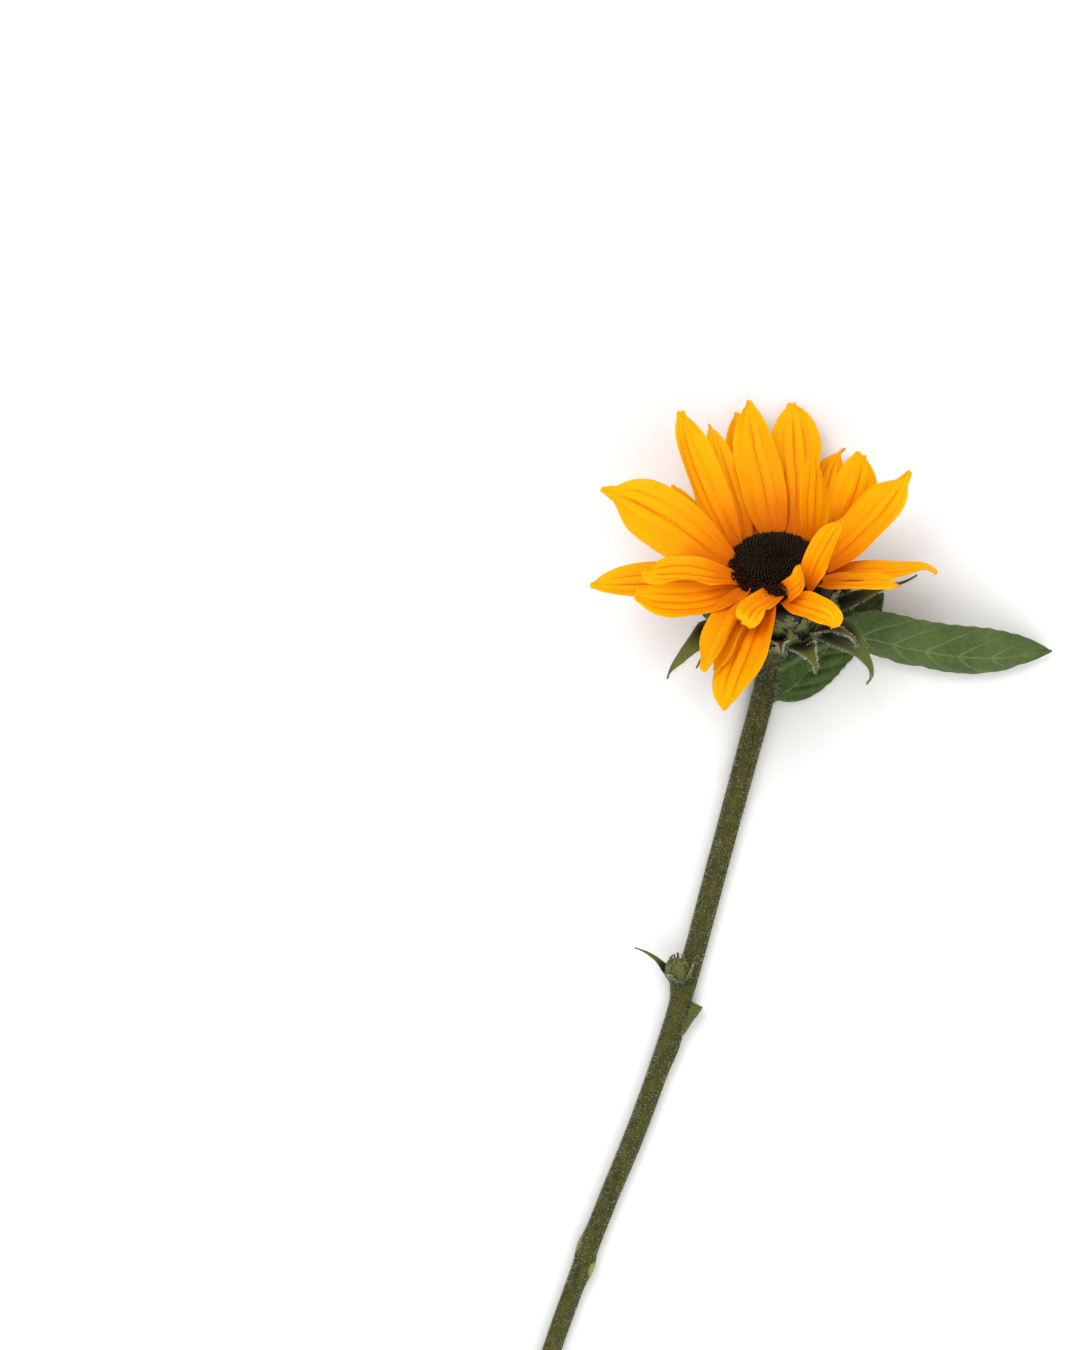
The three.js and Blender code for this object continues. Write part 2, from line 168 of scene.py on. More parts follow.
def curve_through(points, count):
    """Centripetal Catmull-Rom through the points, in equal steps of length."""
    p = np.asarray(points, float)
    p = np.vstack([2 * p[0] - p[1], p, 2 * p[-1] - p[-2]])
    dense = []
    for i in range(1, len(p) - 2):
        a, b, c, d = p[i - 1:i + 3]
        k1 = np.linalg.norm(b - a) ** 0.5
        k2 = k1 + np.linalg.norm(c - b) ** 0.5
        k3 = k2 + np.linalg.norm(d - c) ** 0.5
        for k in np.linspace(k1, k2, 60, endpoint=False):
            a1 = (k1 - k) / k1 * a + k / k1 * b
            a2 = (k2 - k) / (k2 - k1) * b + (k - k1) / (k2 - k1) * c
            a3 = (k3 - k) / (k3 - k2) * c + (k - k2) / (k3 - k2) * d
            b1 = (k2 - k) / k2 * a1 + k / k2 * a2
            b2 = (k3 - k) / (k3 - k1) * a2 + (k - k1) / (k3 - k1) * a3
            dense.append((k2 - k) / (k2 - k1) * b1 + (k - k1) / (k2 - k1) * b2)
    dense = np.array(dense + [p[-2]])
    reach = np.concatenate([[0], np.cumsum(np.linalg.norm(np.diff(dense, axis=0), axis=1))])
    want = np.linspace(0, reach[-1], count)
    line = np.stack([np.interp(want, reach, dense[:, k]) for k in range(3)], axis=1)
    return line, unit(np.gradient(line, axis=0)), reach[-1]


# ---- Meshes ----
class Shape:
    """Vertices, faces and per-vertex values gathered into one mesh."""

    def __init__(self):
        self.points, self.faces, self.values, self.count = [], [], {}, 0

    def add(self, points, faces, **values):
        points = np.asarray(points, float).reshape(-1, 3)
        self.points.append(points)
        self.faces.extend([tuple(int(i) + self.count for i in face) for face in faces])
        for name in sorted(set(self.values) | set(values)):
            if name not in self.values:
                self.values[name] = [np.zeros(self.count)]
            filled = np.broadcast_to(values.get(name, 0.0), (len(points),))
            self.values[name].append(np.asarray(filled, float))
        self.count += len(points)

    def build(self, name, material, slot, replaces=None):
        mesh = bpy.data.meshes.new(name)
        mesh.from_pydata((np.vstack(self.points) * MM).tolist(), [], self.faces)
        for key, chunks in self.values.items():
            layer = mesh.attributes.new(key, "FLOAT", "POINT")
            layer.data.foreach_set("value", np.concatenate(chunks).astype(np.float32))
        mesh.polygons.foreach_set("use_smooth", [True] * len(mesh.polygons))
        mesh.materials.append(material)
        mesh.update()
        piece = bpy.data.objects.new(name, mesh)
        bpy.context.scene.collection.objects.link(piece)
        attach(piece, "root")
        if replaces:
            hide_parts(replaces)


def sheet_faces(rows, columns):
    """Faces of a closed sheet: front grid, back grid and the rim between them."""
    back = rows * columns
    faces = []
    for r in range(rows - 1):
        for c in range(columns - 1):
            i = r * columns + c
            faces.append((i, i + 1, i + columns + 1, i + columns))
            faces.append((back + i, back + i + columns, back + i + columns + 1, back + i + 1))
    rim = [(0, c) for c in range(columns - 1)] + [(r, columns - 1) for r in range(rows - 1)]
    rim += [(rows - 1, c) for c in range(columns - 1, 0, -1)] + [(r, 0) for r in range(rows - 1, 0, -1)]
    for k, (r, c) in enumerate(rim):
        r2, c2 = rim[(k + 1) % len(rim)]
        i, j = r * columns + c, r2 * columns + c2
        faces.append((j, i, back + i, back + j))
    return faces


def tube_faces(rings, corners):
    """Faces of a tube with both ends closed."""
    faces = []
    for r in range(rings - 1):
        for c in range(corners):
            d = (c + 1) % corners
            faces.append((r * corners + c, r * corners + d, (r + 1) * corners + d, (r + 1) * corners + c))
    faces.append(tuple(range(corners - 1, -1, -1)))
    faces.append(tuple((rings - 1) * corners + c for c in range(corners)))
    return faces


def flipped(faces):
    return [face[::-1] for face in faces]


def circle(corners):
    """Equal steps of angle once round."""
    return np.arange(corners) / corners * 2 * math.pi


def tube(line, radii, corners):
    """Rings of points of a round tube along a line."""
    along = unit(np.gradient(line, axis=0))
    side = unit(np.cross(along, [0.31, 0.17, 0.93]))
    up = np.cross(side, along)
    angle = circle(corners)[None, :, None]
    ring = np.cos(angle) * side[:, None] + np.sin(angle) * up[:, None]
    return line[:, None] + radii[:, None, None] * ring


def turned_rings(radius, height, angle):
    """Rings of points round the Z axis."""
    return np.stack([radius * np.sin(angle), radius * np.cos(angle), height + 0 * radius], axis=-1)


def sheet_points(middle, face, thickness):
    """Front and back points of a sheet from its middle surface and its normals."""
    half = face * (thickness / 2)[..., None]
    return np.concatenate([(middle + half).reshape(-1, 3), (middle - half).reshape(-1, 3)])


def both_sides(values):
    return np.concatenate([values.ravel(), values.ravel()])


def back_side(grid):
    """0 on the front of a sheet, 1 on its back."""
    return np.repeat([0.0, 1.0], grid.shape[0] * grid.shape[1])


def down_and_round(rings, corners):
    """A tube's values: which ring, and how far round."""
    return dict(along=np.repeat(np.arange(rings) * 1.0, corners),
                around=np.tile(np.arange(corners) / corners, rings))


def surface_normals(grid):
    down = np.gradient(grid, axis=0)
    across = np.gradient(grid, axis=1)
    return unit(np.cross(across, down))


# ---- Materials ----
class Recipe:
    """A procedural material, wired a step at a time."""

    def __init__(self, name):
        self.material = bpy.data.materials.new(name)
        self.material.use_nodes = True
        self.tree = self.material.node_tree
        self.shader = self.tree.nodes["Principled BSDF"]
        self.position = self.node("ShaderNodeTexCoord").outputs["Object"]

    def node(self, kind, **settings):
        made = self.tree.nodes.new(kind)
        for key, value in settings.items():
            setattr(made, key, value)
        return made

    def link(self, source, target):
        if isinstance(source, (int, float, tuple)):
            target.default_value = source
        else:
            self.tree.links.new(source, target)

    def value(self, name):
        return self.node("ShaderNodeAttribute", attribute_name=name).outputs["Fac"]

    def noise(self, scale, detail=3.0, rough=0.55, vector=None):
        made = self.node("ShaderNodeTexNoise")
        self.link(vector or self.position, made.inputs["Vector"])
        made.inputs["Scale"].default_value = scale
        made.inputs["Detail"].default_value = detail
        made.inputs["Roughness"].default_value = rough
        return made.outputs["Fac"]

    def cells(self, scale):
        """Distance to the edge of small irregular cells."""
        made = self.node("ShaderNodeTexVoronoi", feature="DISTANCE_TO_EDGE")
        self.link(self.position, made.inputs["Vector"])
        made.inputs["Scale"].default_value = scale
        return made.outputs["Distance"]

    def strands(self, across, across_scale, along, along_scale=1.0, seed=0.0, detail=3.0, rough=0.6):
        """Noise drawn out along a piece, in strands that lie side by side."""
        made = self.node("ShaderNodeCombineXYZ")
        across = self.math("MULTIPLY", across, across_scale)
        for source, target in zip((across, self.math("MULTIPLY", along, along_scale), seed), made.inputs):
            self.link(source, target)
        return self.noise(1.0, detail, rough, vector=made.outputs[0])

    def math(self, operation, a, b=0.0):
        made = self.node("ShaderNodeMath", operation=operation)
        self.link(a, made.inputs[0])
        self.link(b, made.inputs[1])
        return made.outputs[0]

    def span(self, source, low, high, to_low=0.0, to_high=1.0):
        made = self.node("ShaderNodeMapRange", interpolation_type="SMOOTHSTEP")
        for value, target in zip((source, low, high, to_low, to_high), made.inputs):
            self.link(value, target)
        return made.outputs["Result"]

    def mix(self, factor, a, b):
        made = self.node("ShaderNodeMix", data_type="RGBA")
        self.link(factor, made.inputs[0])
        self.link((*a, 1.0) if isinstance(a, tuple) else a, made.inputs[6])
        self.link((*b, 1.0) if isinstance(b, tuple) else b, made.inputs[7])
        return made.outputs[2]

    def bump(self, height, strength, distance, after=None):
        made = self.node("ShaderNodeBump")
        made.inputs["Strength"].default_value = strength
        made.inputs["Distance"].default_value = distance
        self.link(height, made.inputs["Height"])
        if after is not None:
            self.link(after, made.inputs["Normal"])
        return made.outputs["Normal"]

    def finish(self, colour, roughness, normal=None, sheen=0.0, subsurface=0.0, radius=(1.0, 0.6, 0.3),
               specular=0.5):
        self.link(colour, self.shader.inputs["Base Color"])
        self.link(roughness, self.shader.inputs["Roughness"])
        if normal is not None:
            self.link(normal, self.shader.inputs["Normal"])
        self.shader.inputs["Specular IOR Level"].default_value = specular
        if sheen:
            self.shader.inputs["Sheen Weight"].default_value = sheen
            self.shader.inputs["Sheen Roughness"].default_value = 0.4
        if subsurface:
            self.shader.inputs["Subsurface Weight"].default_value = subsurface
            self.shader.inputs["Subsurface Radius"].default_value = radius
            self.shader.inputs["Subsurface Scale"].default_value = 0.002
        return self.material


def petal_material():
    r = Recipe("petal_yellow")
    along, across, tint = r.value("along"), r.value("across"), r.value("tint")
    yellow, gold = (0.98, 0.455, 0.0), (0.95, 0.31, 0.0)
    orange, amber = (0.72, 0.13, 0.0), (0.60, 0.18, 0.0)
    streak = r.strands(across, 6.0, along, seed=tint, detail=4)
    fine = r.strands(across, 30.0, along, 2.0, tint)
    colour = r.mix(r.span(along, 0.15, 0.85, 0.9, 0.0), yellow, gold)
    # Orange towards the base: partly the petals' own colour, partly painted shade where the petals meet
    # the disc.
    colour = r.mix(r.span(along, 0.05, 0.40, 0.9, 0.0), colour, orange)
    colour = r.mix(r.span(streak, 0.42, 0.75, 0.0, 0.55), colour, gold)
    colour = r.mix(r.span(fine, 0.5, 0.8, 0.0, 0.20), colour, orange)
    # Orange along the crease lines: painted shade in the folds.
    colour = r.mix(r.span(r.value("groove"), 0.10, 0.9, 0.0, 0.80), colour, orange)
    colour = r.mix(r.span(r.value("back"), 0.4, 0.6, 0.0, 0.35), colour, amber)
    normal = r.bump(fine, 0.3, 0.0003)
    normal = r.bump(r.noise(900, 2), 0.12, 0.0001, after=normal)
    rough = r.span(r.noise(120, 2), 0.3, 0.7, 0.5, 0.65)
    return r.finish(colour, rough, normal, subsurface=0.2, radius=(1.0, 0.4, 0.02), specular=0.08)


def leaf_material():
    r = Recipe("leaf_green")
    face, shade = (0.074, 0.120, 0.024), (0.040, 0.076, 0.015)
    back, vein = (0.10, 0.14, 0.05), (0.17, 0.23, 0.07)
    colour = r.mix(r.span(r.noise(60, 3), 0.3, 0.7), face, shade)
    net = r.cells(430)
    colour = r.mix(r.span(net, 0.0, 0.09, 0.20, 0.0), colour, vein)
    colour = r.mix(r.span(r.noise(420, 2), 0.45, 0.75, 0.0, 0.4), colour, shade)
    colour = r.mix(r.span(r.value("back"), 0.4, 0.6, 0.0, 0.7), colour, back)
    colour = r.mix(r.span(r.value("vein"), 0.25, 0.9, 0.0, 0.62), colour, vein)
    colour = r.mix(r.span(r.math("ABSOLUTE", r.value("across")), 0.94, 1.0, 0.0, 0.35), colour, vein)
    normal = r.bump(r.span(net, 0.0, 0.25), 0.35, 0.0003)
    normal = r.bump(r.noise(1500, 3), 0.3, 0.00012, after=normal)
    rough = r.span(r.noise(300, 2), 0.3, 0.7, 0.55, 0.72)
    return r.finish(colour, rough, normal, sheen=0.06, specular=0.25)


def bract_material():
    r = Recipe("bract_green")
    along, across = r.value("along"), r.value("across")
    dark, green = (0.006, 0.009, 0.005), (0.022, 0.034, 0.010)
    olive, brown = (0.135, 0.155, 0.026), (0.11, 0.045, 0.012)
    streak = r.strands(across, 7.0, along, seed=r.value("tint"), detail=4)
    # The near-black streaks towards the root are painted shade under the head, over the bracts' own dark
    # green; the olive further out is their own colour.
    colour = r.mix(r.span(streak, 0.35, 0.7), dark, green)
    colour = r.mix(r.span(along, 0.18, 0.52, 0.0, 0.85), colour, olive)
    colour = r.mix(r.span(r.math("ABSOLUTE", across), 0.6, 1.0, 0.0, 0.55), colour, olive)
    colour = r.mix(r.span(r.value("dry"), 0.0, 1.0, 0.0, 0.9), colour, brown)
    colour = r.mix(r.span(along, 0.86, 1.0, 0.0, 0.8), colour, brown)
    normal = r.bump(streak, 0.5, 0.0003)
    normal = r.bump(r.noise(1400, 3), 0.3, 0.0001, after=normal)
    return r.finish(colour, r.span(streak, 0.3, 0.7, 0.40, 0.62), normal, sheen=0.05, specular=0.3)


def stem_material():
    r = Recipe("stem_green")
    along, around, end = r.value("along"), r.value("around"), r.value("end")
    olive, green, dark = (0.080, 0.072, 0.007), (0.044, 0.048, 0.006), (0.024, 0.026, 0.005)
    rib = r.strands(around, 26.0, along, 0.05, rough=0.5)
    speck = r.noise(700, 3, 0.6)
    colour = r.mix(r.span(rib, 0.35, 0.68), olive, green)
    colour = r.mix(r.span(r.noise(45, 3), 0.45, 0.7, 0.0, 0.6), colour, green)
    colour = r.mix(r.span(r.noise(190, 3), 0.42, 0.62, 0.0, 0.45), colour, dark)
    colour = r.mix(r.span(speck, 0.5, 0.72, 0.0, 0.6), colour, dark)
    colour = r.mix(r.span(r.value("pale"), 0.0, 1.0), colour, (0.26, 0.30, 0.09))
    pith = r.mix(r.span(end, 0.72, 0.86), (0.55, 0.56, 0.36), (0.17, 0.24, 0.06))
    colour = r.mix(r.span(end, 0.01, 0.02), colour, pith)
    normal = r.bump(rib, 0.5, 0.0004)
    normal = r.bump(speck, 0.4, 0.0002, after=normal)
    return r.finish(colour, r.span(speck, 0.3, 0.7, 0.6, 0.8), normal, sheen=0.05, specular=0.2)


def floret_material(name, low, high, tip):
    r = Recipe(name)
    along = r.value("along")
    colour = r.mix(r.span(along, 0.1, 0.8), low, high)
    colour = r.mix(r.span(along, 0.7, 1.0, 0.0, 0.8), colour, tip)
    colour = r.mix(r.span(r.noise(500, 2), 0.4, 0.7, 0.0, 0.4), colour, low)
    normal = r.bump(r.noise(2500, 2), 0.3, 0.0001)
    return r.finish(colour, r.span(r.noise(900, 2), 0.3, 0.7, 0.55, 0.75), normal, specular=0.15)


def hair_material():
    r = Recipe("white_hair")
    colour = r.mix(r.span(r.noise(200, 2), 0.3, 0.7), (0.52, 0.54, 0.40), (0.74, 0.75, 0.64))
    rough = r.span(r.noise(400, 2), 0.3, 0.7, 0.45, 0.65)
    return r.finish(colour, rough, specular=0.3)


def floor_material():
    r = Recipe("pale_floor")
    colour = r.mix(r.noise(6, 4), (0.92, 0.92, 0.915), (0.95, 0.95, 0.945))
    return r.finish(colour, 0.7, r.bump(r.noise(400, 3), 0.05, 0.0002))


PETAL = petal_material()
BRACT = bract_material()
STEM = stem_material()
LEAF = leaf_material()
HAIR = hair_material()
FLORET_CLOSED = floret_material("floret_closed", (0.006, 0.003, 0.0015), (0.018, 0.010, 0.004),
                                (0.050, 0.034, 0.014))
FLORET_OPEN = floret_material("floret_open", (0.006, 0.002, 0.002), (0.028, 0.005, 0.004),
                              (0.085, 0.014, 0.006))
FLORET_STIGMA = floret_material("floret_stigma", (0.030, 0.006, 0.003), (0.13, 0.022, 0.006),
                                (0.42, 0.11, 0.012))


# ---- Petals and bracts: sheets grown outwards from the head's axis ----
def outline(t, claw, fullest, tip, power, spike=1.0):
    """Half width of a ray along its length; past the spike it runs out as a narrow point."""
    body = np.clip(t / spike, 0, 1)
    opening = claw + (1 - claw) * np.sin(np.pi / 2 * np.clip(body / fullest, 0, 1)) ** power
    fall = np.clip((body - fullest) / (1 - fullest), 0, 1) ** 1.7
    closing = np.cos(np.pi / 2 * fall) ** 0.9
    point = tip * (1 - np.clip((t - spike) / max(1e-6, 1 - spike), 0, 1) * 0.7)
    body_width = np.where(body < fullest, opening, closing)
    return (body_width ** 6 + point ** 6) ** (1 / 6)


def ray_spine(ray, t):
    """Midrib points, sides and faces of a ray at each t, in the head's axes."""
    around = math.radians(ray["at"])
    outward = np.array([math.sin(around), math.cos(around), 0.0])
    sideways = np.array([math.cos(around), -math.sin(around), 0.0])
    facing = np.array([0.0, 0.0, 1.0])

    def frames(t):
        snake = np.sin(2 * math.pi * (ray.get("waves", 1) * t + ray.get("phase", 0)))
        curl = ray.get("curl", 0) * smooth(ray.get("curl_from", 0.72), 1.0, t)
        slope = ray["rise"] + ray["bend"] * t + curl
        slope = np.radians(slope + ray.get("heave", 0) * snake)[:, None]
        swing = ray["yaw"] + ray["sway"] * t + ray.get("hook", 0) * smooth(0.7, 1.0, t)
        swing = np.radians(swing + ray.get("snake", 0) * snake)[:, None]
        roll = np.radians(ray["roll"] + ray.get("twist", 0) * t)[:, None]
        level = outward * np.cos(swing) + sideways * np.sin(swing)
        flat_side = sideways * np.cos(swing) - outward * np.sin(swing)
        flat_up = facing * np.cos(slope) - level * np.sin(slope)
        along = level * np.cos(slope) + facing * np.sin(slope)
        side = flat_side * np.cos(roll) + flat_up * np.sin(roll)
        up = flat_up * np.cos(roll) - flat_side * np.sin(roll)
        return along, side, up

    middle = (t[1:] + t[:-1]) / 2
    steps = frames(middle)[0] * (np.diff(t) * ray["length"])[:, None]
    start = outward * ray["root"] - facing * ray["drop"]
    points = start + np.vstack([np.zeros(3), np.cumsum(steps, axis=0)])
    return points, *frames(t)[1:]


def ray_sheet(ray, half_width, rows, columns):
    """The middle surface of a ray and its t and v grids; half_width is its outline along t."""
    t = np.linspace(0, 1, rows) ** 0.92
    v = np.linspace(-1, 1, columns)
    spine, side, up = ray_spine(ray, t)
    width = ray["width"] / 2 * half_width(t)
    grid_t, grid_v = np.meshgrid(t, v, indexing="ij")
    curl = math.radians(ray["cup"])
    bow = width[:, None] / curl
    angle = np.abs(grid_v) * curl
    out = np.sign(grid_v) * bow * np.sin(angle)
    lift = bow * (1 - np.cos(angle))
    grid = spine[:, None] + side[:, None] * out[..., None] + up[:, None] * lift[..., None]
    return grid, grid_t, grid_v


def build_petal(index, ray):
    rows, columns = 56, 25
    grid, t, v = ray_sheet(ray, lambda t: outline(t, ray["claw"], ray["fullest"], ray["tip"], 0.85,
                                                  ray["spike"]), rows, columns)
    local = np.random.default_rng(100 + index)
    # Small notch at the tip: the end of each strip of the petal stops short by its own amount.
    ahead = unit(grid[-1] - grid[-4]).mean(axis=0)
    notch = np.exp(-((v - local.uniform(-0.3, 0.3)) / 0.45) ** 2) * ray["notch"]
    back_off = smooth(0.90, 1.0, t) * (notch + 0.9 * v ** 2)
    grid = grid - ahead * back_off[..., None]
    # A midrib groove, two side folds, fine ridges, dents and a gently waved margin.
    normal = surface_normals(grid)
    lean = local.uniform(-0.08, 0.08)
    ends = smooth(0.0, 0.22, t) * smooth(1.0, 0.75, t)
    stray = v - lean - 0.05 * np.sin(5 * t + index)
    lines = [(0.0, 1.0), (0.42, local.uniform(0.4, 1.0)), (-0.40, local.uniform(0.4, 1.0)),
             (0.72, 0.35), (-0.7, 0.3)]
    crease = sum(w * np.exp(-((stray - place) / 0.055) ** 2) for place, w in lines) * ends
    keel = np.exp(-(stray / 0.18) ** 2) * ends
    fold = (np.exp(-((stray - 0.45) / 0.16) ** 2) + np.exp(-((stray + 0.45) / 0.16) ** 2)) * ends
    ridges = np.cos(v * 24 + ray["at"]) * 0.035
    phase, waves = local.uniform(0, 6.28), local.uniform(1.1, 1.9)
    ripple = np.sin(waves * 2 * math.pi * t + phase + 1.3 * v) * np.abs(v) ** 2.2 * smooth(0.1, 0.5, t)
    dent = wobble(t * 1.3 + index, v * 0.4, 40 + index) * 0.8 * smooth(0.1, 0.4, t)
    ripple = ripple * ray["ruffle"] * ray["width"]
    relief = -0.75 * keel - 0.55 * fold - 0.12 * crease + ridges + ripple + dent
    grid = grid + normal * (relief * min(1, ray["width"] / 12))[..., None]
    normal = surface_normals(grid)
    thickness = 0.36 - 0.20 * v ** 2 - 0.05 * t
    shape = Shape()
    # The crease lines also go to the material, which paints shade along them.
    shape.add(head_to_row(sheet_points(grid, normal, thickness)), sheet_faces(rows, columns),
              along=both_sides(t), across=both_sides(v), groove=both_sides(crease), back=back_side(grid),
              tint=float(index))
    shape.build(f"petal_{index + 1:02d}", PETAL, "petal", f"ray_petal_{index + 1:02d}")


# How single petals differ from the plain one, by number.
PLAIN_PETAL = dict(claw=0.42, fullest=0.42, tip=0.12, spike=1.0, notch=0.5, ruffle=0.05,
                   root=PETAL_ROOT - 2.2)
PETAL_EXTRAS = {
    1: dict(fullest=0.34, claw=0.5, notch=0.4, phase=0.1, heave=4),
    2: dict(fullest=0.5, tip=0.2, notch=1.0),
    3: dict(spike=0.95, tip=0.16, hook=40, claw=0.4),
    4: dict(claw=0.5, fullest=0.5, notch=0.2, tip=0.10, twist=14),
    5: dict(notch=1.6, tip=0.30, fullest=0.55),
    6: dict(spike=0.93, tip=0.22, fullest=0.56, notch=0.2, claw=0.45, hook=-12),
    7: dict(curl=-60, curl_from=0.8, ruffle=0.10, tip=0.30, notch=0.4, fullest=0.3, heave=7, waves=1.6,
            roll=-2, width=10),
    8: dict(curl=-14, spike=0.97, tip=0.12, ruffle=0.09, fullest=0.4),
    9: dict(claw=0.55, fullest=0.45, tip=0.10, notch=0.1, twist=20, ruffle=0.08),
    10: dict(claw=1.0, fullest=0.3, tip=0.16, heave=-22, notch=0.1, ruffle=0.08, width=8, length=15),
    11: dict(claw=0.35, fullest=0.45, tip=0.36, curl=-115, curl_from=0.6, twist=-10, ruffle=0.06,
             notch=0.3, cup=60),
    12: dict(claw=0.8, fullest=0.75, tip=0.3, heave=-16, snake=22, waves=1.1, ruffle=0.10, notch=0.3,
             curl=-70, width=10, rise=12),
    13: dict(fullest=0.56, tip=0.10, notch=0.2, claw=0.4, ruffle=0.03),
    14: dict(tip=0.42, notch=-0.6, claw=0.4, fullest=0.6, length=33),
    15: dict(tip=0.42, notch=-0.6, claw=0.45, fullest=0.25, ruffle=0.03, width=14, cup=70, drop=2.4),
    16: dict(tip=0.36, notch=0.7, ruffle=0.06, fullest=0.5),
    17: dict(tip=0.34, notch=0.9, claw=0.5, ruffle=0.10, fullest=0.5, heave=5),
    18: dict(tip=0.14, fullest=0.45),
    19: dict(spike=0.93, tip=0.24, notch=0.6, hook=-14, fullest=0.58, claw=0.4, ruffle=0.03),
    20: dict(tip=0.2, notch=0.2, fullest=0.5),
    21: dict(tip=0.22, notch=0.9, claw=0.4),
    22: dict(tip=0.10, notch=0.2, claw=0.45, fullest=0.36),
    23: dict(tip=0.16, notch=0.4),
}


def build_petals():
    for index, row in enumerate(PETALS):
        ray = {**PLAIN_PETAL, **dict(zip(PETAL_KEYS, row)), **PETAL_EXTRAS[index + 1]}
        ray["drop"] = 0.7 * ray["drop"] - 0.7          # roots a little nearer to the disc's rim
        build_petal(index, ray)


# ---- Hairs ----
LOWEST_HAIR = 0.05


class Hairs:
    """Tapering three-sided hairs gathered into one piece."""

    def __init__(self):
        self.shape = Shape()

    def grow(self, roots, directions, lengths, thickness=0.06):
        roots, directions = np.asarray(roots), unit(directions)
        side = unit(np.cross(directions, [0.53, 0.61, 0.59]))
        other = np.cross(directions, side)
        lean = unit(side * rng.normal(0, 1, (len(roots), 1)) + other * rng.normal(0, 1, (len(roots), 1)))
        faces = [(2, 1, 0)]
        for a in range(3):
            b = (a + 1) % 3
            faces += [(a, b, 3 + b, 3 + a), (3 + a, 3 + b, 6)]
        for root, direction, s, o, length, sway in zip(roots, directions, side, other, lengths, lean):
            corners = [math.cos(a) * s + math.sin(a) * o for a in (0, 2.094, 4.189)]
            base = [root + thickness * corner for corner in corners]
            knee = root + direction * length * 0.55
            middle = [knee + 0.7 * thickness * corner for corner in corners]
            tip = root + direction * length + sway * length * 0.25
            points = np.array(base + middle + [tip])
            points[:, 2] = np.maximum(points[:, 2], LOWEST_HAIR)
            self.shape.add(points, faces)


bract_hairs = Hairs()
stem_hairs = Hairs()
leaf_hairs = Hairs()


def margin_hairs(hairs, grid, normal, count, length, place=head_to_row):
    """Hairs along both margins of a sheet and a few on its back, lying partly forwards."""
    rows, columns = grid.shape[:2]
    r = rng.integers(1, rows - 1, count)
    edge = rng.random(count) < 0.6
    margin = np.where(rng.random(count) < 0.5, 0, columns - 1)
    c = np.where(edge, margin, rng.integers(0, columns, count))
    roots = grid[r, c]
    inner = grid[r, np.clip(c + np.where(c == 0, 1, -1), 0, columns - 1)]
    outwards = unit(roots - inner)
    forward = unit(grid[np.minimum(r + 1, rows - 1), c] - grid[r - 1, c])
    lie = -normal[r, c]
    direction = np.where(edge[:, None], outwards + 0.35 * lie, lie + 0.3 * outwards) + 0.45 * forward
    direction = direction + rng.normal(0, 0.25, direction.shape)
    lengths = length * rng.uniform(0.5, 1.2, count)
    start = place(roots)
    hairs.grow(start, place(roots + unit(direction)) - start, lengths)


# ---- Bracts ----
def pointed(t, claw=0.9, fullest=0.2):
    """Half width of a bract: full near the root, then drawn out to a long thin point."""
    opening = claw + (1 - claw) * np.sin(np.pi / 2 * np.clip(t / fullest, 0, 1))
    fall = np.clip((t - fullest) / (1 - fullest), 0, 1)
    closing = (1 - fall) ** 1.35 * (1 - 0.25 * np.sin(np.pi * fall)) + 0.03
    return np.where(t < fullest, opening, closing)


def bract_sheet(ray, tuck, rows, columns):
    """A ribbed bract whose root is pressed in against the bowl."""
    grid, t, v = ray_sheet(ray, pointed, rows, columns)
    around = math.radians(ray["at"])
    outward = np.array([math.sin(around), math.cos(around), 0.0])
    grid = grid - outward * ((1 - smooth(0.0, 0.3, t)) * tuck)[..., None]
    normal = surface_normals(grid)
    keel = np.exp(-(v / 0.14) ** 2) * smooth(1.0, 0.6, t)
    ripple = np.sin(9 * t + ray["at"]) * np.abs(v) ** 2 * 0.04 * smooth(0.2, 0.6, t)
    dent = wobble(t * 2 + ray["at"], v * 0.7, 31) * 0.03
    relief = (ripple + dent * smooth(0.1, 0.4, t)) * ray["width"] - 0.3 * keel + np.cos(v * 15) * 0.06
    grid = grid + normal * relief[..., None]
    return grid, surface_normals(grid), t, v


def add_bract(shape, ray, tuck, rows, columns, hairs, hair_length, place=head_to_row, **values):
    grid, normal, t, v = bract_sheet(ray, tuck, rows, columns)
    thickness = 0.55 - 0.32 * v ** 2 - 0.1 * t
    shape.add(place(sheet_points(grid, normal, thickness)), sheet_faces(rows, columns),
              along=both_sides(t), across=both_sides(v), tint=float(ray["at"]), **values)
    margin_hairs(bract_hairs, grid, normal, hairs, hair_length, place)


PLAIN_BRACT = dict(yaw=0, sway=0, roll=0, cup=30)

# Bracts that are broader, drier or more twisted than the plain one.
BRACT_EXTRAS = {
    "outer_bract_03": dict(width=14, length=27, curl=-16), "outer_bract_06": dict(width=15, curl=-20),
    "inner_bract_03": dict(curl=20, width=9), "inner_bract_04": dict(dry=0.45, width=7, curl=-60),
    "inner_bract_05": dict(dry=0.3, width=6, length=11, curl=-50), "inner_bract_06": dict(width=9),
    "outer_bract_04": dict(width=9, length=17, curl=-60),
    "outer_bract_05": dict(width=9, length=15, curl=-40),
}


